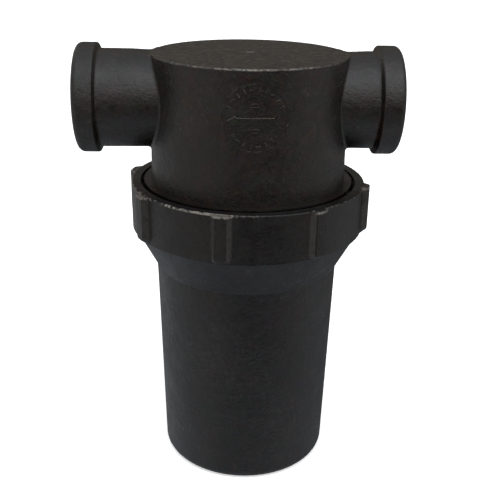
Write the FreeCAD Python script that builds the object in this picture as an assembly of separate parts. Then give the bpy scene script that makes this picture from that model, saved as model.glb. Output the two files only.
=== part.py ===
import FreeCAD, Part
import math
import os

# ---------------------------------------------------------------------------
# In-line T strainer, 1/2 inch pipe size, moulded in glass-filled plastic.
# Origin: centre of the flat under the bowl.  +Z up the bowl's axis,
# +X along the pipe run towards the inlet port (flow runs from +X to -X).
# All sizes in millimetres.
# ---------------------------------------------------------------------------
V = FreeCAD.Vector

# head
TOP_Z = 137.8            # flat top of the head
HEAD_R_TOP = 30.5        # body radius at the top, with draft
HEAD_R_LOW = 30.95       # body radius low down, just above the flange
DRAFT_Z = 101.6          # height at which the low radius is taken
SKIRT_R = 33.4           # flat flange, level with the top of the lugged collar
SKIRT_TOP_Z = 98.3
SKIRT_LOW_Z = 97.7
FACE_Z = 86.6            # sealing face of the head, on top of the gasket
CAVITY_R = 27.5          # inlet cavity inside the head
CAVITY_TOP_Z = 133.4
SPIGOT_R = 15.0          # central outlet spigot
SPIGOT_BORE_R = 11.5
SPIGOT_END_Z = 88.6
DUCT_R = 11.8            # outlet duct between the spigot and the outlet port
FLOW_R = 8.6             # water way behind both port threads

NECK_FILLET = 1.0        # where the necks run into the body
RIM_R = 0.5              # rounding of the top rim, left off where the necks meet it
RIM_CLEAR_DEG = 19.0
BADGE_X, BADGE_Z, BADGE_R = 0.71, 124.3, 9.75          # raised ring on the front
ARROW_TIP_X, ARROW_TAIL_X, ARROW_Z = -7.1, 6.03, 123.6   # flow arrow
RELIEF_RING, RELIEF_ARROW, RELIEF_MARK = 0.12, 0.40, 0.24

# ports
PORT_Z = 123.55
OUT_X = -52.85           # outlet end face
IN_X = 46.22             # inlet end face
NECK_R = 14.87
HUB_R = 16.75
HUB_LEN = {-1: 6.25, 1: 6.7}   # cylindrical part of each hub, edge rounding included
HUB_SHOULDER = 0.8
HUB_EDGE_R = 1.9
PORT_CREST_R = 9.20      # 1/2 inch pipe thread, 14 per inch
PORT_PITCH = 25.4 / 14
PORT_DEPTH = 14.5
PORT_GROOVE = 1.22

# closure thread between bowl and head
PITCH = 4.0
HEAD_CORE_R = 32.1
HEAD_CREST_R = 33.6
BOWL_BORE_R = 33.9
BOWL_CREST_R = 32.4
RIDGE_BASE = 2.5
RIDGE_CREST = 1.3
BOWL_RIDGE_Z, BOWL_RIDGE_TURNS = 88.1, 1.8
# the head's ridge sits half a pitch off the bowl's, so the two are in mesh at rest
HEAD_RIDGE_Z, HEAD_RIDGE_TURNS = 88.3, 1.95
HEAD_RIDGE_DEG = (HEAD_RIDGE_Z - (BOWL_RIDGE_Z - PITCH / 2)) / PITCH * 360

# bowl
COLLAR_R = 37.5
COLLAR_LOW_Z = 82.75
COLLAR_TOP_Z = 98.1
MOUTH_R = 34.5
CONE_R = 36.6
SHOULDER_R = 29.87
SHOULDER_Z = 70.2
WALL_LOW_R = 28.08
WALL_LOW_Z = 3.0
LEDGE_Z = 84.6
LEDGE_R = 29.4
INNER_SH_R = 26.95
INNER_SH_Z = 71.0
INNER_LOW_R = 25.15
FLOOR_Z = 3.2
LUGS = 8
LUG_FIRST_DEG = -103.4
LUG_R = 39.4
LUG_BASE_W = 6.7         # across a lug where it leaves the collar
LUG_FACE_W = 3.6         # across its outer face
LUG_FACE_LOW = 1.5       # how far its face stops above the collar's lower edge
LUG_BASE_CORNER, LUG_FACE_CORNER = 2.4, 1.1
COLLAR_EDGE_R = 0.3

# screen cartridge
CART_LOW_Z = 9.0
MESH_R_IN, MESH_R_OUT = 17.2, 17.6
CAP_R = 18.8
COLLAR_BODY_Z = 83.0
CORE_R_IN = 15.6


def pt(r, z):
    return V(r, 0, z)


def profile(items):
    """Closed XZ wire from points; an item (a, mid, b) is an arc through mid."""
    edges, last, first = [], None, None
    for it in items:
        if isinstance(it[0], tuple):
            a, m, b = it
            if last is not None and last != a:
                edges.append(Part.makeLine(pt(*last), pt(*a)))
            edges.append(Part.Arc(pt(*a), pt(*m), pt(*b)).toShape())
            if first is None:
                first = a
            last = b
        else:
            if last is not None and last != it:
                edges.append(Part.makeLine(pt(*last), pt(*it)))
            if first is None:
                first = it
            last = it
    if last != first:
        edges.append(Part.makeLine(pt(*last), pt(*first)))
    return Part.Wire(edges)


def revolve(items):
    return Part.Face(profile(items)).revolve(V(0, 0, 0), V(0, 0, 1), 360)


def corner(p0, p1, p2, r):
    """Arc of radius r rounding the corner p1 between p0 and p2."""
    def unit(a, b):
        d = (b[0] - a[0], b[1] - a[1])
        n = math.hypot(*d)
        return d[0] / n, d[1] / n
    u, w = unit(p1, p0), unit(p1, p2)
    half = math.acos(max(-1, min(1, u[0] * w[0] + u[1] * w[1]))) / 2
    t = r / math.tan(half)
    a = (p1[0] + u[0] * t, p1[1] + u[1] * t)
    b = (p1[0] + w[0] * t, p1[1] + w[1] * t)
    s = (u[0] + w[0], u[1] + w[1])
    n = math.hypot(*s)
    c = (p1[0] + s[0] / n * r / math.sin(half), p1[1] + s[1] / n * r / math.sin(half))
    m = (c[0] - s[0] / n * r, c[1] - s[1] / n * r)
    return a, m, b


def rounded(points):
    """Points (r, z) or (r, z, fillet) turned into a profile with rounded corners."""
    out, n = [], len(points)
    for i, p in enumerate(points):
        if len(p) == 3 and p[2] > 0:
            a, b = points[i - 1], points[(i + 1) % n]
            out.append(corner(a[:2], p[:2], b[:2], p[2]))
        else:
            out.append(p[:2])
    return revolve(out)


def cyl(r, z0, z1, x=0, y=0):
    return Part.makeCylinder(r, z1 - z0, V(x, y, z0))


def tube(r_in, r_out, z0, z1):
    return cyl(r_out, z0, z1).cut(cyl(r_in, z0 - 1, z1 + 1))


def along_x(shape, x, z, sign):
    """Turn a shape built up +Z so that it runs along sign*X from (x, 0, z)."""
    s = shape.copy()
    s.rotate(V(0, 0, 0), V(0, 1, 0), 90 * sign)
    s.translate(V(x, 0, z))
    return s


def helical(points, pitch, z0, turns, start_deg=0):
    """Sweep a closed (r, z) outline up a right-hand helix that starts at z0."""
    r = sum(p[0] for p in points) / len(points)
    path = Part.makeLongHelix(pitch, pitch * turns, r)
    path.translate(V(0, 0, z0))
    pts = [V(p[0], 0, p[1] + z0) for p in points]
    wire = Part.makePolygon(pts + [pts[0]])
    solid = Part.Wire(path.Edges).makePipeShell([wire], True, True)
    if solid.Volume < 0:
        solid.reverse()
    solid.rotate(V(0, 0, 0), V(0, 0, 1), start_deg)
    return solid


def tooth(r_root, r_tip, w_root, w_tip, bury):
    """Trapezoid outline of a thread ridge, buried a little below its root."""
    k = (w_root - w_tip) / 2 / abs(r_tip - r_root)
    s = 1 if r_tip > r_root else -1
    rb = r_root - s * bury
    wb = w_root / 2 + k * bury
    return [(rb, -wb), (r_tip, -w_tip / 2), (r_tip, w_tip / 2), (rb, wb)]


def one(shape):
    s = shape.Solids
    if len(s) != 1:
        raise ValueError("expected one solid, got %d" % len(s))
    return s[0]


# ---------------------------------------------------------------------------
# head
# ---------------------------------------------------------------------------
def port_body(x_end, sign):
    """Neck and hub of a port; the neck runs in past the body's axis side."""
    s0, s1 = HUB_LEN[sign], HUB_LEN[sign] + HUB_SHOULDER
    length = abs(x_end) - 12.0
    pts = [
        (0, 0), (HUB_R, 0, HUB_EDGE_R), (HUB_R, s0, 0.35),
        (NECK_R + 0.15, s1, 0.9), (NECK_R, length), (0, length),
    ]
    body = rounded(pts)
    return along_x(body, x_end, PORT_Z, -sign)


def port_cut(x_end, sign):
    """Threaded hole, mouth countersink and water way, opening at x_end."""
    sector = Part.makeCylinder(PORT_CREST_R, PORT_DEPTH + 2.5, V(0, 0, -0.5), V(0, 0, 1), 45)
    bore = sector
    parts = []
    for i in range(1, 8):
        s = sector.copy()
        s.rotate(V(0, 0, 0), V(0, 0, 1), 45 * i)
        parts.append(s)
    bore = bore.multiFuse(parts)
    sink = Part.makeCone(11.4, PORT_CREST_R - 0.2, 2.2, V(0, 0, 0))
    lip = Part.makeCylinder(11.4, 1.0, V(0, 0, -1.0))
    k = math.tan(math.radians(30))
    bury = 0.2
    w_tip = 0.16
    w_root = w_tip + 2 * k * PORT_GROOVE
    outline = tooth(PORT_CREST_R, PORT_CREST_R + PORT_GROOVE, w_root, w_tip, bury)
    turns = (PORT_DEPTH + 1.2) / PORT_PITCH
    groove = helical(outline, PORT_PITCH, -1.2, turns)
    return [along_x(s, x_end, PORT_Z, -sign) for s in (bore, sink, lip, groove)]


def rim_tool(a0, a1):
    """Waste outside the rounded top rim, from angle a0 to a1."""
    over, e = 0.6, RIM_R
    c = math.sqrt(0.5)
    slope = (HEAD_R_LOW - HEAD_R_TOP) / (TOP_Z - DRAFT_Z)
    r0 = HEAD_R_TOP + slope * e
    zc, rc = TOP_Z - e, r0 - e
    wire = profile([
        ((r0, zc), (rc + e * c, zc + e * c), (rc, TOP_Z)),
        (rc - 0.05, TOP_Z + over), (r0 + over, TOP_Z + over), (r0 + over, zc - 0.1),
    ])
    face = Part.Face(wire)
    face.rotate(V(0, 0, 0), V(0, 0, 1), a0)
    return face.revolve(V(0, 0, 0), V(0, 0, 1), a1 - a0)


def wall_r(z):
    return HEAD_R_LOW + (HEAD_R_TOP - HEAD_R_LOW) * (z - DRAFT_Z) / (TOP_Z - DRAFT_Z)


def head_outside():
    # a tall blank, cut to height once the necks are blended in
    tall_z = TOP_Z + 12
    body = rounded([
        (0, FACE_Z), (HEAD_CORE_R, FACE_Z, 0.5), (HEAD_CORE_R, SKIRT_LOW_Z - 0.9),
        (SKIRT_R, SKIRT_LOW_Z + 0.2), (SKIRT_R, SKIRT_TOP_Z),
        (wall_r(SKIRT_TOP_Z), SKIRT_TOP_Z),
        (wall_r(tall_z), tall_z), (0, tall_z),
    ])
    body = one(body.fuse([port_body(OUT_X, -1), port_body(IN_X, 1)]))
    loops = []
    for e in body.Edges:
        ps = e.discretize(9)
        if all(abs(math.hypot(p.x, p.y) - wall_r(p.z)) < 0.05
               and abs(math.hypot(p.y, p.z - PORT_Z) - NECK_R) < 0.35 for p in ps):
            loops.append(e)
    body = one(body.makeFillet(NECK_FILLET, loops))
    # flat top; beyond the rim the cut curves up so the necks' crests fade in
    big, r0, w = 36.0, HEAD_R_TOP - 0.2, 8.0
    lid = revolve([(0, TOP_Z),
                   ((r0, TOP_Z), (r0 + w / 2, TOP_Z + big - math.sqrt(big ** 2 - w * w / 4)),
                    (r0 + w, TOP_Z + big - math.sqrt(big ** 2 - w * w))),
                   (r0 + w, TOP_Z + 14), (0, TOP_Z + 14)])
    body = one(body.cut(lid))
    for a in (0, 180):
        body = one(body.cut(rim_tool(a + RIM_CLEAR_DEG, a + 180 - RIM_CLEAR_DEG)))
    return one(body)


def head_hollow():
    """The inlet cavity: open below, round the spigot and under the outlet duct."""
    hollow = rounded([
        (0, FACE_Z - 1), (CAVITY_R + 1.2, FACE_Z - 1), (CAVITY_R, CAVITY_TOP_Z, 2.0),
        (0, CAVITY_TOP_Z),
    ])
    keep = cyl(SPIGOT_R, SPIGOT_END_Z, TOP_Z)
    duct = Part.makeCylinder(DUCT_R, CAVITY_R + 3, V(0, 0, PORT_Z), V(-1, 0, 0))
    web = Part.makeBox(CAVITY_R + 3, 2 * DUCT_R, TOP_Z - PORT_Z, V(-CAVITY_R - 3, -DUCT_R, PORT_Z))
    keep = keep.fuse([duct, web])
    return hollow.cut(keep)


def in_relief(face, depth):
    """Raise a flat XZ face on the front of the body as moulded relief."""
    prism = face.extrude(V(0, -60, 0))
    shell = revolve([(wall_r(100) - 0.6, 104), (wall_r(104) + depth, 104),
                     (wall_r(136) + depth, 136), (wall_r(136) - 0.6, 136)])
    return prism.common(shell)


def plate(points):
    w = Part.makePolygon([V(x, 0, z) for x, z in points] + [V(points[0][0], 0, points[0][1])])
    return Part.Face(w)


def ring_face(cx, cz, r_in, r_out):
    o = Part.Wire(Part.makeCircle(r_out, V(cx, 0, cz), V(0, 1, 0)))
    i = Part.Wire(Part.makeCircle(r_in, V(cx, 0, cz), V(0, 1, 0)))
    return Part.Face(o).cut(Part.Face(i))


def bar(cx, cz, angle_deg, length, width):
    a = math.radians(angle_deg)
    ux, uz = math.cos(a), math.sin(a)
    hl, hw = length / 2, width / 2
    return plate([(cx + ux * i * hl - uz * j * hw, cz + uz * i * hl + ux * j * hw)
                  for i, j in ((1, 1), (1, -1), (-1, -1), (-1, 1))])


def head_relief():
    """Thin ring, a plain band of dashes inside it and the flow arrow."""
    out = [in_relief(ring_face(BADGE_X, BADGE_Z, BADGE_R - 0.35, BADGE_R), RELIEF_RING)]
    z = ARROW_Z
    out.append(in_relief(plate([
        (ARROW_TIP_X, z), (ARROW_TIP_X + 2.4, z + 1.4), (ARROW_TIP_X + 2.4, z + 0.9),
        (ARROW_TAIL_X, z + 0.9), (ARROW_TAIL_X, z - 0.9), (ARROW_TIP_X + 2.4, z - 0.9),
        (ARROW_TIP_X + 2.4, z - 1.4)]), RELIEF_ARROW))
    for k in range(24):
        a = 360.0 * k / 24 + 7.5
        if abs((a + 90) % 180 - 90) < 14:
            continue
        c, s = math.cos(math.radians(a)), math.sin(math.radians(a))
        r = BADGE_R - 1.75
        turn = a if k % 3 else a + 90
        out.append(in_relief(bar(BADGE_X + r * c, BADGE_Z + r * s, turn, 1.25, 0.42), RELIEF_MARK))
    for dz in (3.0, -3.2):
        out.append(in_relief(bar(BADGE_X - 0.2, BADGE_Z + dz, 0, 2.6, 0.5), RELIEF_MARK))
        out.append(in_relief(bar(BADGE_X - 0.2, BADGE_Z + dz + (0.95 if dz > 0 else -0.95), 0, 1.5, 0.5), RELIEF_MARK))
    return out


def make_head():
    body = head_outside()
    ridge = helical(tooth(HEAD_CORE_R, HEAD_CREST_R, RIDGE_BASE, RIDGE_CREST, 0.5),
                    PITCH, HEAD_RIDGE_Z, HEAD_RIDGE_TURNS, HEAD_RIDGE_DEG)
    body = one(body.fuse([ridge] + head_relief()))
    gate = rounded([(0, TOP_Z - 0.5), (1.5, TOP_Z - 0.5), (1.5, TOP_Z + 0.18, 0.12), (0, TOP_Z + 0.18)])
    body = one(body.fuse(gate))
    body = one(body.cut(head_hollow()))
    spigot = cyl(SPIGOT_BORE_R, SPIGOT_END_Z - 1, PORT_Z + FLOW_R - 1)
    outlet = Part.makeCylinder(FLOW_R, abs(OUT_X) - PORT_DEPTH + 1, V(OUT_X + PORT_DEPTH - 1, 0, PORT_Z), V(1, 0, 0))
    inlet = Part.makeCylinder(FLOW_R, IN_X - PORT_DEPTH + 1 - 22, V(22, 0, PORT_Z), V(1, 0, 0))
    body = one(body.cut([spigot, outlet, inlet]))
    for x, sign in ((OUT_X, -1), (IN_X, 1)):
        bore, sink, lip, groove = port_cut(x, sign)
        body = one(body.cut(bore))
        body = one(body.cut([sink, lip]))
        body = one(body.cut(groove))
    return body


# ---------------------------------------------------------------------------
# bowl, with its lugged collar moulded on
# ---------------------------------------------------------------------------
def lug_outline(x, half, low, corner_r, top):
    """Closed U outline of a lug in the plane at x from the axis, open end up."""
    c = corner_r * (1 - math.sqrt(0.5))
    k = corner_r
    return Part.Wire([
        Part.makeLine(V(x, -half, top), V(x, -half, low + k)),
        Part.Arc(V(x, -half, low + k), V(x, -half + c, low + c), V(x, -half + k, low)).toShape(),
        Part.makeLine(V(x, -half + k, low), V(x, half - k, low)),
        Part.Arc(V(x, half - k, low), V(x, half - c, low + c), V(x, half, low + k)).toShape(),
        Part.makeLine(V(x, half, low + k), V(x, half, top)),
        Part.makeLine(V(x, half, top), V(x, -half, top)),
    ])


def lug():
    """One lug on +X: a pad with sloping sides and a rounded, sloping lower end."""
    x0, x1 = COLLAR_R - 0.6, LUG_R + 0.02
    slope = (LUG_BASE_W - LUG_FACE_W) / 2 / (LUG_R - COLLAR_R + 0.15)
    base = LUG_FACE_W / 2 + slope * (x1 - x0)
    fall = LUG_FACE_LOW / (LUG_R - COLLAR_R) * (x1 - x0)
    top = COLLAR_TOP_Z + 1
    wires = [lug_outline(x0, base, COLLAR_LOW_Z + LUG_FACE_LOW - fall, LUG_BASE_CORNER, top),
             lug_outline(x1, LUG_FACE_W / 2, COLLAR_LOW_Z + LUG_FACE_LOW, LUG_FACE_CORNER, top)]
    pad = Part.makeLoft(wires, True, True)
    rim = [e for e in pad.Edges
           if all(abs(v.Point.x - x1) < 1e-6 for v in e.Vertexes)
           and min(v.Point.z for v in e.Vertexes) < top - 0.5]
    return one(pad.makeFillet(0.85, rim))


def collar_band():
    """Collar with its eight lugs."""
    band = rounded([(0, COLLAR_LOW_Z), (COLLAR_R - 0.3, COLLAR_LOW_Z), (COLLAR_R, COLLAR_LOW_Z + 0.3),
                    (COLLAR_R, COLLAR_TOP_Z, COLLAR_EDGE_R), (0, COLLAR_TOP_Z)])
    trim = rounded([(COLLAR_R - 0.9, COLLAR_LOW_Z + 0.1), (LUG_R, COLLAR_LOW_Z + 0.1),
                    (LUG_R, COLLAR_TOP_Z, 0.4), (COLLAR_R - 0.9, COLLAR_TOP_Z)])
    pad = one(lug().common(trim))
    pads = []
    for k in range(LUGS):
        p = pad.copy()
        p.rotate(V(0, 0, 0), V(0, 0, 1), LUG_FIRST_DEG + k * 360.0 / LUGS)
        pads.append(p)
    return one(band.fuse(pads))


def make_bowl():
    band = collar_band()
    outside = rounded([
        (0, 0), (WALL_LOW_R - 0.06, 0, 2.8), (SHOULDER_R, SHOULDER_Z, 1.8),
        (CONE_R, COLLAR_LOW_Z), (CONE_R, COLLAR_LOW_Z + 2), (0, COLLAR_LOW_Z + 2),
    ])
    bowl = one(outside.fuse(band))
    inside = rounded([
        (0, FLOOR_Z), (INNER_LOW_R, FLOOR_Z, 2.2), (INNER_SH_R, INNER_SH_Z, 1.5),
        (LEDGE_R, LEDGE_Z - 8.7, 1.0), (LEDGE_R, LEDGE_Z), (BOWL_BORE_R, LEDGE_Z),
        (BOWL_BORE_R, COLLAR_TOP_Z - 1.7), (MOUTH_R, COLLAR_TOP_Z - 1.1),
        (MOUTH_R, COLLAR_TOP_Z - 0.12), (MOUTH_R + 0.12, COLLAR_TOP_Z),
        (MOUTH_R + 0.12, COLLAR_TOP_Z + 1), (0, COLLAR_TOP_Z + 1),
    ])
    bowl = one(bowl.cut(inside))
    ridge = helical(tooth(BOWL_BORE_R, BOWL_CREST_R, RIDGE_BASE, RIDGE_CREST, 0.5),
                    PITCH, BOWL_RIDGE_Z, BOWL_RIDGE_TURNS)
    bowl = one(bowl.fuse(ridge))
    ribs = []
    for k in range(4):
        pts = [(9.0, FLOOR_Z - 1), (9.0, CART_LOW_Z), (CAP_R + 0.8, CART_LOW_Z), (CAP_R + 0.8, CART_LOW_Z + 5),
               (INNER_LOW_R + 1.2, CART_LOW_Z + 6.5), (INNER_LOW_R + 1.2, FLOOR_Z - 1)]
        f = Part.Face(Part.makePolygon([V(r, -0.9, z) for r, z in pts] + [V(pts[0][0], -0.9, pts[0][1])]))
        p = f.extrude(V(0, 1.8, 0))
        p.rotate(V(0, 0, 0), V(0, 0, 1), 45 + 90 * k)
        ribs.append(p)
    bowl = one(bowl.fuse(ribs))
    return bowl


# ---------------------------------------------------------------------------
# gasket and screen cartridge
# ---------------------------------------------------------------------------
def make_gasket():
    return rounded([(LEDGE_R + 0.2, LEDGE_Z, 0.35), (BOWL_BORE_R - 0.4, LEDGE_Z, 0.35),
                    (BOWL_BORE_R - 0.4, FACE_Z, 0.35), (LEDGE_R + 0.2, FACE_Z, 0.35)])


def make_screen():
    top = FACE_Z
    core = tube(CORE_R_IN, MESH_R_IN, CART_LOW_Z + 2.0, CART_LOW_Z + 4.6)
    hoops = [tube(CORE_R_IN, MESH_R_IN, COLLAR_BODY_Z - 2.6, COLLAR_BODY_Z)]
    span = (COLLAR_BODY_Z - CART_LOW_Z - 2.0)
    for k in (1, 2, 3):
        z = CART_LOW_Z + 2.0 + span * k / 4
        hoops.append(tube(CORE_R_IN, MESH_R_IN, z - 0.9, z + 0.9))
    for k in range(6):
        b = Part.makeBox(MESH_R_IN - CORE_R_IN - 0.35, 2.0, span - 2, V(CORE_R_IN + 0.2, -1.0, CART_LOW_Z + 3.0))
        b.rotate(V(0, 0, 0), V(0, 0, 1), 60 * k + 20)
        hoops.append(b)
    core = one(core.fuse(hoops))
    mesh = tube(MESH_R_IN, MESH_R_OUT, CART_LOW_Z + 2.0, COLLAR_BODY_Z)
    r = MESH_R_OUT + 0.03
    seam = Part.makeCylinder(MESH_R_OUT + 0.4, COLLAR_BODY_Z - CART_LOW_Z - 9.4,
                             V(0, 0, CART_LOW_Z + 4.6), V(0, 0, 1), 16)
    seam = seam.cut(cyl(MESH_R_OUT, 0, 120))
    seam.rotate(V(0, 0, 0), V(0, 0, 1), 200)
    collar = rounded([
        (12.2, COLLAR_BODY_Z), (r, COLLAR_BODY_Z), (r, COLLAR_BODY_Z - 4.4), (CAP_R, COLLAR_BODY_Z - 4.4, 0.4),
        (CAP_R, top + 4.4, 0.5), (SPIGOT_R + 0.4, top + 4.4, 0.5), (SPIGOT_R + 0.4, top), (12.2, top, 0.3),
    ])
    cap = rounded([
        (0, CART_LOW_Z - 3.6), (6.0, CART_LOW_Z - 3.6, 0.6), (6.0, CART_LOW_Z), (CAP_R, CART_LOW_Z, 0.5),
        (CAP_R, CART_LOW_Z + 4.4, 0.4), (r, CART_LOW_Z + 4.4), (r, CART_LOW_Z + 2.0), (0, CART_LOW_Z + 2.0),
    ])
    washer = rounded([(SPIGOT_BORE_R + 0.9, top, 0.25), (SPIGOT_R + 0.2, top, 0.25),
                      (SPIGOT_R + 0.2, top + 2.0, 0.25), (SPIGOT_BORE_R + 0.9, top + 2.0, 0.25)])
    return {"screen_core": core, "screen_mesh": mesh, "screen_seam": one(seam),
            "screen_collar": collar, "screen_cap": cap, "screen_washer": washer}


def main():
    nodes = {"head_body": make_head(), "bowl": make_bowl(), "bowl_gasket": make_gasket()}
    nodes.update(make_screen())
    os.makedirs("parts", exist_ok=True)
    for name, shape in nodes.items():
        s = one(shape)
        print("%-14s valid %s volume %.1f faces %d" % (name, s.isValid(), s.Volume, len(s.Faces)))
        s.exportStep("parts/%s.step" % name)


main()
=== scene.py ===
import math

import bpy
from mathutils import Matrix, Vector


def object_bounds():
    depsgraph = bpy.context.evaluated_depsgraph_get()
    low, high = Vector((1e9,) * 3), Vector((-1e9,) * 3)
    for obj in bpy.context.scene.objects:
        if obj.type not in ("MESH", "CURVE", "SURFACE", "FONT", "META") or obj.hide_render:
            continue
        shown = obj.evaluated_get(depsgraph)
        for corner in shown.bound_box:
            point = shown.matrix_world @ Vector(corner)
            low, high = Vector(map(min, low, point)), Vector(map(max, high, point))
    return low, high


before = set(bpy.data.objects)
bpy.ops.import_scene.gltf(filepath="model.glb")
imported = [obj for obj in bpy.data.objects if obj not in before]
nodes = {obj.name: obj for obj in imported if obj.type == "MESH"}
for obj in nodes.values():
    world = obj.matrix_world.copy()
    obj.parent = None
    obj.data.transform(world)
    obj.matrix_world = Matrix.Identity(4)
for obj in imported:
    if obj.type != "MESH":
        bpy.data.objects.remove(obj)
CAD_LO, CAD_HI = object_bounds()
scene = bpy.context.scene
MM = 0.001


# ---------------------------------------------------------------------------
# small helper around one node tree
# ---------------------------------------------------------------------------
class Tree:
    def __init__(self, tree):
        self.t = tree
        self.t.nodes.clear()

    def node(self, kind, **props):
        n = self.t.nodes.new(kind)
        for k, v in props.items():
            setattr(n, k, v)
        return n

    def put(self, socket, value):
        if isinstance(value, bpy.types.NodeSocket):
            self.t.links.new(value, socket)
        else:
            socket.default_value = value

    def math(self, op, a, b=0.0, c=0.0, clamp=False):
        n = self.node("ShaderNodeMath", operation=op, use_clamp=clamp)
        for s, v in zip(n.inputs, (a, b, c)):
            self.put(s, v)
        return n.outputs[0]

    def vec(self, op, a, b=(0, 0, 0)):
        n = self.node("ShaderNodeVectorMath", operation=op)
        self.put(n.inputs[0], a)
        self.put(n.inputs[1], b)
        return n.outputs["Value"] if op in ("DOT_PRODUCT", "LENGTH") else n.outputs[0]

    def scale(self, v, x, y, z):
        n = self.node("ShaderNodeVectorMath", operation="MULTIPLY")
        self.put(n.inputs[0], v)
        n.inputs[1].default_value = (x, y, z)
        return n.outputs[0]

    def noise(self, v, scale, detail=3.0, rough=0.5, warp=0.0):
        n = self.node("ShaderNodeTexNoise", noise_dimensions="3D")
        self.put(n.inputs["Vector"], v)
        n.inputs["Scale"].default_value = scale
        n.inputs["Detail"].default_value = detail
        n.inputs["Roughness"].default_value = rough
        n.inputs["Distortion"].default_value = warp
        return n.outputs["Fac"]

    def cells(self, v, scale, feature="F1", out="Distance"):
        n = self.node("ShaderNodeTexVoronoi", feature=feature)
        self.put(n.inputs["Vector"], v)
        n.inputs["Scale"].default_value = scale
        return n.outputs[out]

    def step(self, v, lo, hi, a=0.0, b=1.0, smooth=True):
        n = self.node("ShaderNodeMapRange", clamp=True,
                      interpolation_type="SMOOTHSTEP" if smooth else "LINEAR")
        self.put(n.inputs["Value"], v)
        for k, x in (("From Min", lo), ("From Max", hi), ("To Min", a), ("To Max", b)):
            self.put(n.inputs[k], x)
        return n.outputs["Result"]

    def mix(self, f, a, b):
        n = self.node("ShaderNodeMix", data_type="RGBA", blend_type="MIX", clamp_factor=True)
        self.put(n.inputs["Factor"], f)
        self.put(n.inputs["A"], a)
        self.put(n.inputs["B"], b)
        return n.outputs["Result"]

    def mixf(self, f, a, b):
        n = self.node("ShaderNodeMix", data_type="FLOAT", clamp_factor=True)
        self.put(n.inputs["Factor"], f)
        self.put(n.inputs["A"], a)
        self.put(n.inputs["B"], b)
        return n.outputs["Result"]

    def mul(self, *vals):
        out = vals[0]
        for v in vals[1:]:
            out = self.math("MULTIPLY", out, v)
        return out

    def add(self, *vals):
        out = vals[0]
        for v in vals[1:]:
            out = self.math("ADD", out, v)
        return out

    def both(self, a, b):
        return self.math("MAXIMUM", a, b)


def rgba(r, g, b):
    return (r, g, b, 1.0)


def band(t, v, centre, half, soft):
    """1 within half of centre, falling to 0 over soft."""
    d = t.math("ABSOLUTE", t.math("SUBTRACT", v, centre))
    return t.step(d, half, half + soft, 1.0, 0.0)


def new_material(name):
    m = bpy.data.materials.new(name)
    m.use_nodes = True
    t = Tree(m.node_tree)
    out = t.node("ShaderNodeOutputMaterial")
    p = t.node("ShaderNodeBsdfPrincipled")
    t.t.links.new(p.outputs[0], out.inputs["Surface"])
    return m, t, p


def coords(t):
    c = t.node("ShaderNodeTexCoord").outputs["Object"]
    s = t.node("ShaderNodeSeparateXYZ")
    t.put(s.inputs[0], c)
    return c, s.outputs[0], s.outputs[1], s.outputs[2]


def edge_mask(t, radius, lo, hi):
    """How sharply the surface turns near the point: 0 on a plain face, 1 at an edge.
    Also gives how far the turned surface leans up."""
    b = t.node("ShaderNodeBevel", samples=8)
    b.inputs["Radius"].default_value = radius
    g = t.node("ShaderNodeNewGeometry")
    d = t.vec("DOT_PRODUCT", b.outputs[0], g.outputs["Normal"])
    s = t.node("ShaderNodeSeparateXYZ")
    t.put(s.inputs[0], b.outputs[0])
    return t.step(d, 1.0 - lo, 1.0 - hi), s.outputs[2]


def bump_chain(t, layers):
    """layers: (height socket, distance in m, strength)."""
    last = None
    for h, dist, strength in layers:
        b = t.node("ShaderNodeBump")
        t.put(b.inputs["Height"], h)
        b.inputs["Distance"].default_value = dist
        b.inputs["Strength"].default_value = strength
        if last is not None:
            t.put(b.inputs["Normal"], last)
        last = b.outputs[0]
    return last


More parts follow.
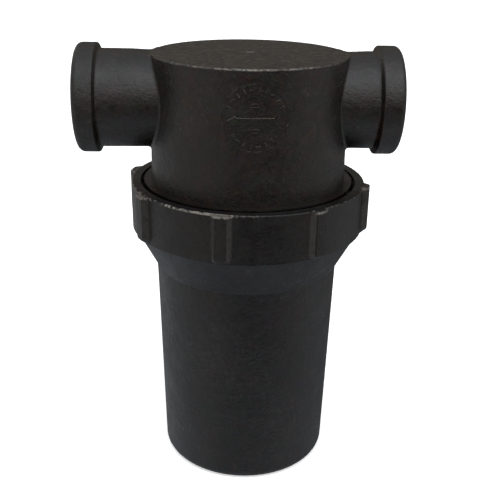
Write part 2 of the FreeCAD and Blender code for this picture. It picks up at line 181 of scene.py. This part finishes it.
# ---------------------------------------------------------------------------
# moulded black plastic of the head and the bowl
# ---------------------------------------------------------------------------
def moulded(name, dark, mid, pale, rough, which):
    m, t, p = new_material(name)
    c, x, y, z = coords(t)
    r = t.math("SQRT", t.add(t.mul(x, x), t.mul(y, y)))

    # colour: broad blotches, finer mottling, a fine grain
    blot = t.noise(c, 42.0, 4.0, 0.55, 0.4)
    mott = t.noise(t.vec("ADD", c, (0.31, 0.17, 0.05)), 230.0, 5.0, 0.66, 0.3)
    fine = t.noise(t.vec("ADD", c, (0.61, 0.27, 0.15)), 760.0, 3.0, 0.65)
    grain = t.noise(c, 2300.0, 2.0, 0.6)
    tone = t.add(t.mul(blot, 0.35), t.mul(mott, 0.4), t.mul(fine, 0.25))
    col = t.mix(t.step(tone, 0.38, 0.50), rgba(*dark), rgba(*mid))
    col = t.mix(t.step(tone, 0.50, 0.64), col, rgba(*pale))
    hue = t.noise(t.vec("ADD", c, (0.7, 0.2, 0.9)), 300.0, 5.0, 0.68, 0.6)
    hue2 = t.noise(t.vec("ADD", c, (0.2, 0.8, 0.4)), 390.0, 5.0, 0.68, 0.5)
    warm = rgba(mid[0] * 2.3, mid[1] * 1.15, mid[2] * 0.60)
    cool = rgba(mid[0] * 0.60, mid[1] * 1.80, mid[2] * 0.75)
    violet = rgba(mid[0] * 1.40, mid[1] * 0.75, mid[2] * 2.40)
    col = t.mix(t.mul(t.step(hue, 0.51, 0.64), 0.75), col, warm)
    col = t.mix(t.mul(t.step(hue, 0.48, 0.36), 0.65), col, cool)
    col = t.mix(t.mul(t.step(hue2, 0.53, 0.66), 0.7), col, violet)
    dust = t.noise(t.vec("ADD", c, (0.11, 0.5, 0.3)), 620.0, 3.0, 0.7)
    film = t.mul(t.step(dust, 0.5, 0.8), t.step(blot, 0.35, 0.65), 0.42)
    col = t.mix(film, col, rgba(0.034, 0.030, 0.026))
    if which == "head":
        lid_dust = t.mul(t.step(dust, 0.42, 0.62), t.step(z, 137.7 * MM, 137.78 * MM),
                         t.step(r, 30.7 * MM, 30.3 * MM), 0.75)
        col = t.mix(lid_dust, col, rgba(0.033, 0.028, 0.022))
    if which == "bowl":
        collar = t.mul(t.step(z, 82.55 * MM, 82.85 * MM), t.step(r, 36.2 * MM, 36.6 * MM))
        col = t.mix(t.mul(collar, 0.75), col, t.mix(t.step(tone, 0.42, 0.58), rgba(0.0018, 0.0013, 0.0012),
                                                   rgba(0.0048, 0.0036, 0.0032)))

        # lugs: flanks painted paler as a painted reflection of the bright surroundings, faces left dark
        lug_flank_reflection = t.mul(t.step(z, 82.7 * MM, 82.9 * MM), t.step(r, 37.65 * MM, 37.95 * MM),
                      t.step(r, 39.30 * MM, 39.10 * MM), t.step(mott, 0.36, 0.52, 0.35, 1.0))
        col = t.mix(t.mul(lug_flank_reflection, 0.40), col, rgba(0.034, 0.030, 0.026))

    # specks of pale dust and small nicks
    spk = t.cells(t.vec("ADD", c, (0.07, 0.13, 0.29)), 260.0)
    pick = t.noise(c, 130.0, 1.0, 0.5)
    speck = t.mul(t.step(spk, 0.075, 0.035), t.step(pick, 0.56, 0.66))
    # hairline rubs, mostly up and down
    hair = t.noise(t.scale(c, 1.0, 1.0, 0.045), 950.0, 2.0, 0.4, 0.15)
    where = t.noise(t.vec("ADD", c, (0.4, 0.4, 0.1)), 38.0, 2.0, 0.5)
    rub = t.mul(t.step(hair, 0.665, 0.72), t.step(where, 0.52, 0.66))

    # worn corners and marks, with a painted highlight on the badge edges
    edge, lean = edge_mask(t, 0.00030, 0.03, 0.25)
    chip = t.noise(t.vec("ADD", c, (0.2, 0.6, 0.4)), 900.0, 4.0, 0.7)
    lots = t.noise(t.vec("ADD", c, (0.9, 0.1, 0.2)), 70.0, 2.0, 0.5)
    general = t.mul(edge, t.step(t.add(t.mul(chip, 0.6), t.mul(lots, 0.4)), 0.49, 0.62), 0.40)
    if which == "head":
        general = t.mul(general, t.step(z, 100.5 * MM, 102.0 * MM))
    marks = [general]
    if which == "head":
        rim = t.mul(band(t, z, 137.62 * MM, 0.16 * MM, 0.14 * MM), t.step(r, 29.5 * MM, 29.95 * MM),
                    t.step(t.math("ABSOLUTE", x), 27.0 * MM, 15.0 * MM))
        rim = t.mul(rim, t.step(chip, 0.40, 0.58), t.step(lots, 0.30, 0.55, 0.30, 1.0))
        marks.append(t.mul(rim, 0.8))
        # badge: painted highlight, upward-leaning edges of the raised lettering and arrow lightened as if lit
        # from above, the badge ring only faintly
        near = t.mul(t.step(y, -0.018, -0.022), t.step(z, 0.1125, 0.1135), t.step(z, 0.1362, 0.1352))
        bx = t.math("SUBTRACT", x, 0.71 * MM)
        bz = t.math("SUBTRACT", z, 124.3 * MM)
        far = t.math("SQRT", t.add(t.mul(bx, bx), t.mul(bz, bz)))
        arrow = t.step(t.math("ABSOLUTE", t.math("SUBTRACT", z, 123.6 * MM)), 1.6 * MM, 1.9 * MM, 1.0, 0.0)
        faint = t.mixf(arrow, t.step(far, 9.1 * MM, 9.25 * MM, 0.42, 0.04), 0.80)
        badge_edge_highlight = t.mul(edge, t.step(lean, 0.05, 0.22), near)
        patchy = t.mixf(arrow, t.step(mott, 0.40, 0.56, 0.15, 1.0), 1.0)
        marks.append(t.mul(badge_edge_highlight, patchy, faint))
        gate = t.mul(t.step(z, 137.87 * MM, 137.93 * MM), t.step(r, 1.6 * MM, 1.4 * MM))
        marks.append(t.mul(gate, t.step(chip, 0.35, 0.55, 0.10, 0.28)))
    if which == "bowl":
        top = t.mul(t.step(z, 97.40 * MM, 97.62 * MM), t.step(r, 36.85 * MM, 37.05 * MM))
        left = t.step(x, 0.002, -0.014, 0.0, 0.11)
        lugtop = t.step(r, 37.8 * MM, 38.2 * MM, 0.0, 0.04)
        flake = t.step(t.add(t.mul(chip, 0.6), t.mul(lots, 0.4), left, lugtop), 0.545, 0.63)
        marks.append(t.mul(top, flake, t.step(r, 37.7 * MM, 38.0 * MM, 0.95, 0.55)))
        low = t.mul(edge, band(t, z, 82.9 * MM, 0.45 * MM, 0.2 * MM), t.step(r, 36.0 * MM, 36.5 * MM))
        marks.append(t.mul(low, t.step(t.add(t.mul(chip, 0.5), t.mul(lots, 0.5)), 0.50, 0.60), 0.35))
    wear_and_highlight = marks[0]
    for k in marks[1:]:
        wear_and_highlight = t.both(wear_and_highlight, k)
    col = t.mix(t.mul(rub, 0.06), col, rgba(0.060, 0.056, 0.050))
    col = t.mix(t.mul(speck, 0.05), col, rgba(0.20, 0.19, 0.17))
    # one pale colour for the real wear marks and for the painted highlight on the badge edges
    col = t.mix(wear_and_highlight, col, rgba(0.165, 0.150, 0.130))
    t.put(p.inputs["Base Color"], col)

    # gloss
    rv = t.noise(t.vec("ADD", c, (0.05, 0.35, 0.65)), 150.0, 5.0, 0.68)
    rr = t.step(rv, 0.30, 0.70, rough - 0.11, rough + 0.13, smooth=False)
    rr = t.add(rr, t.mul(t.math("SUBTRACT", fine, 0.5), 0.16), t.mul(t.math("SUBTRACT", grain, 0.5), 0.14))
    if which == "head":
        rr = t.add(rr, t.step(x, -45.0 * MM, -46.8 * MM, 0.0, 0.12))
    rr = t.mixf(t.mul(rub, 0.12), rr, rough + 0.16)
    rr = t.mixf(wear_and_highlight, rr, rough + 0.18)
    t.put(p.inputs["Roughness"], rr)
    p.inputs["IOR"].default_value = 1.5
    p.inputs["Specular IOR Level"].default_value = 0.5

    # relief of the surface itself
    layers = [
        (t.noise(c, 140.0, 2.0, 0.5), 0.00034, 0.40),
        (t.noise(c, 420.0, 3.0, 0.6), 0.00028, 0.65),
        (t.noise(c, 1150.0, 3.0, 0.6), 0.00017, 0.70),
        (t.add(grain, t.mul(t.cells(c, 1500.0), 0.2)), 0.00007, 0.6),
    ]
    if which == "head":
        seam = t.mul(band(t, z, 106.4 * MM, 0.05 * MM, 0.10 * MM), t.step(x, 0.006, 0.016, 0.25, 1.0))
        layers.append((seam, 0.00005, 0.6))
        turn = t.node("ShaderNodeTexWave", wave_type="RINGS", rings_direction="Z", wave_profile="SIN")
        t.put(turn.inputs["Vector"], c)
        turn.inputs["Scale"].default_value = 260.0
        turn.inputs["Distortion"].default_value = 1.2
        turn.inputs["Detail"].default_value = 2.0
        turn.inputs["Detail Scale"].default_value = 2.0
        lid = t.mul(turn.outputs["Fac"], t.step(z, 137.7 * MM, 137.78 * MM), t.step(r, 30.7 * MM, 30.3 * MM))
        layers.append((lid, 0.00003, 0.6))
    if which == "bowl":
        ring = t.mul(t.noise(t.scale(c, 1.0, 1.0, 30.0), 60.0, 2.0, 0.5), t.step(z, 0.070, 0.066))
        layers.append((ring, 0.00004, 0.35))
    t.put(p.inputs["Normal"], bump_chain(t, layers))
    return m


head_plastic = moulded("head_plastic", (0.0030, 0.0022, 0.0018), (0.0052, 0.0040, 0.0033),
                       (0.0098, 0.0080, 0.0066), 0.33, "head")
bowl_plastic = moulded("bowl_plastic", (0.0022, 0.0020, 0.0021), (0.0038, 0.0036, 0.0038),
                       (0.0072, 0.0070, 0.0074), 0.33, "bowl")


# ---------------------------------------------------------------------------
# inner parts
# ---------------------------------------------------------------------------
def rubber(name):
    m, t, p = new_material(name)
    c, x, y, z = coords(t)
    n = t.noise(c, 260.0, 4.0, 0.6)
    bloom = t.noise(t.vec("ADD", c, (0.3, 0.3, 0.3)), 900.0, 3.0, 0.6)
    col = t.mix(t.step(n, 0.4, 0.65), rgba(0.012, 0.012, 0.013), rgba(0.026, 0.026, 0.027))
    col = t.mix(t.mul(t.step(bloom, 0.55, 0.75), 0.5), col, rgba(0.06, 0.06, 0.058))
    t.put(p.inputs["Base Color"], col)
    t.put(p.inputs["Roughness"], t.step(n, 0.3, 0.7, 0.62, 0.82, smooth=False))
    t.put(p.inputs["Normal"], bump_chain(t, [(bloom, 0.00006, 0.5)]))
    return m


def cage(name):
    m, t, p = new_material(name)
    c, x, y, z = coords(t)
    n = t.noise(c, 120.0, 4.0, 0.6, 0.3)
    g = t.noise(c, 1800.0, 2.0, 0.6)
    col = t.mix(t.step(n, 0.38, 0.64), rgba(0.030, 0.031, 0.034), rgba(0.055, 0.056, 0.060))
    e = t.mul(edge_mask(t, 0.0004, 0.03, 0.25)[0], t.step(g, 0.45, 0.6), 0.5)
    col = t.mix(e, col, rgba(0.20, 0.20, 0.20))
    t.put(p.inputs["Base Color"], col)
    t.put(p.inputs["Roughness"], t.step(n, 0.3, 0.7, 0.38, 0.52, smooth=False))
    t.put(p.inputs["Normal"], bump_chain(t, [(n, 0.0002, 0.3), (g, 0.00005, 0.5)]))
    return m


def weave(name, plain=False):
    """Woven steel wire wrapped round the Z axis: over-and-under bump, openings painted near-black as painted
    shade of the hollow behind.
    """
    m, t, p = new_material(name)
    c, x, y, z = coords(t)
    n = t.noise(c, 150.0, 3.0, 0.6)
    steel = t.mix(t.step(n, 0.35, 0.7), rgba(0.42, 0.41, 0.39), rgba(0.60, 0.59, 0.57))
    p.inputs["Metallic"].default_value = 1.0
    if plain:
        t.put(p.inputs["Base Color"], steel)
        t.put(p.inputs["Roughness"], t.step(n, 0.3, 0.7, 0.26, 0.42, smooth=False))
        t.put(p.inputs["Normal"], bump_chain(t, [(n, 0.00005, 0.4)]))
        return m
    pitch = 0.55 * MM
    around = t.mul(t.math("ARCTAN2", y, x), 17.4 * MM / pitch)
    up = t.math("DIVIDE", z, pitch)
    fu = t.math("ABSOLUTE", t.math("SUBTRACT", t.math("FRACT", around), 0.5))
    fv = t.math("ABSOLUTE", t.math("SUBTRACT", t.math("FRACT", up), 0.5))
    wu = t.step(fu, 0.16, 0.30, 1.0, 0.0)
    wv = t.step(fv, 0.16, 0.30, 1.0, 0.0)
    over = t.math("SINE", t.mul(t.add(t.math("FLOOR", around), up), math.pi))
    h = t.both(t.mul(wu, t.math("MULTIPLY_ADD", over, 0.25, 0.75)),
               t.mul(wv, t.math("MULTIPLY_ADD", over, -0.25, 0.75)))
    solid = t.both(wu, wv)
    # openings between the wires: painted shade, near-black and rough
    t.put(p.inputs["Base Color"], t.mix(solid, rgba(0.012, 0.012, 0.012), steel))
    t.put(p.inputs["Roughness"], t.mixf(solid, 0.8, t.step(n, 0.3, 0.7, 0.28, 0.40, smooth=False)))
    t.put(p.inputs["Normal"], bump_chain(t, [(h, 0.00018, 0.9)]))
    return m


rubber_mat = rubber("seal_rubber_mat")
cage_mat = cage("cage_plastic_mat")
mesh_mat = weave("wire_mesh_mat")
steel_mat = weave("seam_steel_mat", plain=True)

ASSIGN = {
    "head_body": head_plastic, "bowl": bowl_plastic, "bowl_gasket": rubber_mat,
    "screen_core": cage_mat, "screen_mesh": mesh_mat, "screen_seam": steel_mat,
    "screen_collar": cage_mat, "screen_cap": cage_mat, "screen_washer": rubber_mat,
}
for name, mat in ASSIGN.items():
    ob = nodes[name]
    if not ob.material_slots:
        ob.data.materials.append(mat)
    for s in ob.material_slots:
        s.material = mat

# ---------------------------------------------------------------------------
# floor
# ---------------------------------------------------------------------------
verts, faces = [(0, 0, 0)], []
RINGS = [0.1, 0.3, 0.8, 2.0, 5.0, 9.0]
SEG = 96
for rad in RINGS:
    for k in range(SEG):
        a = 2 * math.pi * k / SEG
        verts.append((rad * math.cos(a), rad * math.sin(a), 0))
for k in range(SEG):
    faces.append((0, 1 + k, 1 + (k + 1) % SEG))
for i in range(len(RINGS) - 1):
    a0, b0 = 1 + i * SEG, 1 + (i + 1) * SEG
    for k in range(SEG):
        n = (k + 1) % SEG
        faces.append((a0 + k, b0 + k, b0 + n, a0 + n))
fm = bpy.data.meshes.new("floor")
fm.from_pydata(verts, [], faces)
floor = bpy.data.objects.new("floor", fm)
scene.collection.objects.link(floor)
floor.location.z = CAD_LO.z - 0.00002
m, t, p = new_material("floor_paint")
c, x, y, z = coords(t)
n = t.noise(c, 6.0, 3.0, 0.5)
t.put(p.inputs["Base Color"], t.mix(t.step(n, 0.3, 0.7), rgba(0.90, 0.90, 0.895), rgba(0.93, 0.93, 0.925)))
p.inputs["Roughness"].default_value = 0.95
p.inputs["Specular IOR Level"].default_value = 0.0
p.inputs["Emission Color"].default_value = rgba(1.0, 1.0, 1.0)
p.inputs["Emission Strength"].default_value = 0.42
fm.materials.append(m)
floor.visible_glossy = False

# ---------------------------------------------------------------------------
# soft studio light
# ---------------------------------------------------------------------------
world = bpy.data.worlds.new("studio")
scene.world = world
world.use_nodes = True
t = Tree(world.node_tree)
out = t.node("ShaderNodeOutputWorld")
bg = t.node("ShaderNodeBackground")
t.t.links.new(bg.outputs[0], out.inputs[0])
sp = t.node("ShaderNodeSeparateXYZ")
t.put(sp.inputs[0], t.node("ShaderNodeTexCoord").outputs["Generated"])
dx, dy, dz = sp.outputs


def curve(t, value, stops):
    """Smooth curve through (x in 0..1, grey) stops."""
    n = t.node("ShaderNodeValToRGB")
    r = n.color_ramp
    r.interpolation = "EASE" if len(stops) < 3 else "LINEAR"
    while len(r.elements) < len(stops):
        r.elements.new(0.5)
    for e, (pos, lvl) in zip(r.elements, stops):
        e.position = pos
        e.color = (lvl, lvl, lvl, 1.0)
    t.put(n.inputs[0], value)
    return n.outputs[0]


# once round from the back horizon under the floor to the front horizon, overhead and back
turn = t.math("ARCTAN2", dz, t.math("MULTIPLY", dy, -1.0))
turn = t.math("DIVIDE", t.math("ADD", turn, math.pi), 2 * math.pi, clamp=True)
ARC = [(-180, .10), (-150, .12), (-127, .20), (-98, .27), (-78, .34), (-61, .40), (-47, .46), (-40, .46),
       (-34, .26), (-28, .07), (-20, .02), (-12, .02), (-4, .06), (4, .24), (15, .74), (27, 1.18), (39, 1.52),
       (51, 1.84), (62, 2.30), (70, 2.10), (80, 1.40), (92, .95), (106, .66), (122, .43), (142, .33),
       (155, .14), (170, .10), (180, .10)]
arc = curve(t, turn, [((a + 180) / 360.0, v / 3.0) for a, v in ARC])
elev = t.math("DIVIDE", t.math("ADD", t.math("ARCSINE", dz), math.pi / 2), math.pi, clamp=True)
WALL = [(-90, .26), (-45, .42), (-28, .42), (0, .38), (25, .46), (60, .80), (90, 1.10)]
wall = curve(t, elev, [((a + 90) / 180.0, v / 3.0) for a, v in WALL])
to_left = t.step(t.math("MULTIPLY", dx, -1.0), 0.10, 0.75, 0.0, 1.0)
to_right = t.step(dx, 0.58, 1.0, 0.0, 0.97)
side = t.math("MAXIMUM", to_left, to_right)
wall = t.mul(wall, t.step(dx, -0.5, 0.5, 1.10, 1.00))
lvl = t.mul(t.mixf(side, arc, wall), 3.0)
warm_back = t.mul(t.step(dy, 0.3, 0.9), t.step(dz, -0.1, 0.0), t.step(dz, 0.75, 0.5))
tint = t.mix(t.step(dz, -0.2, -0.7), rgba(1.0, 1.0, 1.0), rgba(0.94, 1.0, 1.08))
tint = t.mix(t.step(dz, 0.45, 0.8), tint, rgba(0.96, 1.0, 1.05))
warm_front = t.mul(t.step(dy, -0.1, -0.4), t.step(dz, -0.62, -0.35), t.step(dz, 0.45, 0.25))
tint = t.mix(warm_front, tint, rgba(1.10, 0.99, 0.90))
tint = t.mix(warm_back, tint, rgba(1.10, 1.0, 0.87))
glossy = t.node("ShaderNodeMix", data_type="RGBA", blend_type="MULTIPLY")
glossy.inputs["Factor"].default_value = 1.0
t.put(glossy.inputs["A"], tint)
comb = t.node("ShaderNodeCombineXYZ")
for s in comb.inputs:
    t.put(s, lvl)
t.put(glossy.inputs["B"], comb.outputs[0])
lp = t.node("ShaderNodeLightPath")
t.put(bg.inputs["Color"], t.mix(lp.outputs["Is Camera Ray"], glossy.outputs["Result"], rgba(1.0, 1.0, 1.0)))
bg.inputs["Strength"].default_value = 1.0


def softbox(name, at, look, size, power, colour=(1, 1, 1), glossy=True):
    d = bpy.data.lights.new(name, "AREA")
    d.shape = "RECTANGLE"
    d.size, d.size_y = size
    d.energy = power
    d.color = colour
    o = bpy.data.objects.new(name, d)
    scene.collection.objects.link(o)
    o.location = at
    o.rotation_mode = "QUATERNION"
    o.rotation_quaternion = (Vector(look) - Vector(at)).to_track_quat("-Z", "Y")
    o.visible_glossy = glossy
    return o


softbox("key", (-0.10, -0.46, 1.02), (0, 0, 0.11), (0.55, 0.50), 1.6, (1.0, 0.99, 0.985), glossy=False)
softbox("fill", (0.0, 0.10, 1.6), (0, 0, 0), (2.0, 2.0), 9.0, glossy=False)

# ---------------------------------------------------------------------------
# camera
# ---------------------------------------------------------------------------
F_PX, PX, PY = 801.0, 250.0, 250.0
CAM_H, CAM_D = 37.121, 249.901
PITCH, ROLL, PAN, YAW = 0.38908, 0.01889, -0.00462, 0.036
TOP = 137.8


def spin(v, a):
    return Vector((v.x * math.cos(a) - v.y * math.sin(a), v.x * math.sin(a) + v.y * math.cos(a), v.z))


right = Vector((math.cos(PAN), math.sin(PAN), 0))
fwd = Vector((-math.sin(PAN) * math.cos(PITCH), math.cos(PAN) * math.cos(PITCH), -math.sin(PITCH)))
upv = Vector((-math.sin(PAN) * math.sin(PITCH), math.cos(PAN) * math.sin(PITCH), math.cos(PITCH)))
right, fwd, upv = (spin(v, -YAW) for v in (right, fwd, upv))
cr, sr = math.cos(ROLL), math.sin(ROLL)
xa = right * cr + upv * sr
ya = upv * cr - right * sr
cam_data = bpy.data.cameras.new("camera")
cam = bpy.data.objects.new("camera", cam_data)
scene.collection.objects.link(cam)
rot = Matrix((xa, ya, -fwd)).transposed()
cam.matrix_world = Matrix.Translation(
    Vector((-CAM_D * math.sin(YAW), -CAM_D * math.cos(YAW), TOP + CAM_H)) * MM) @ rot.to_4x4()
cam_data.sensor_width = 36.0
cam_data.lens = F_PX / 500.0 * 36.0
cam_data.shift_x = (250.0 - PX) / 500.0
cam_data.shift_y = (PY - 250.0) / 500.0
cam_data.clip_start, cam_data.clip_end = 0.01, 30.0
scene.camera = cam

scene.view_settings.view_transform = "Standard"
scene.view_settings.look = "None"
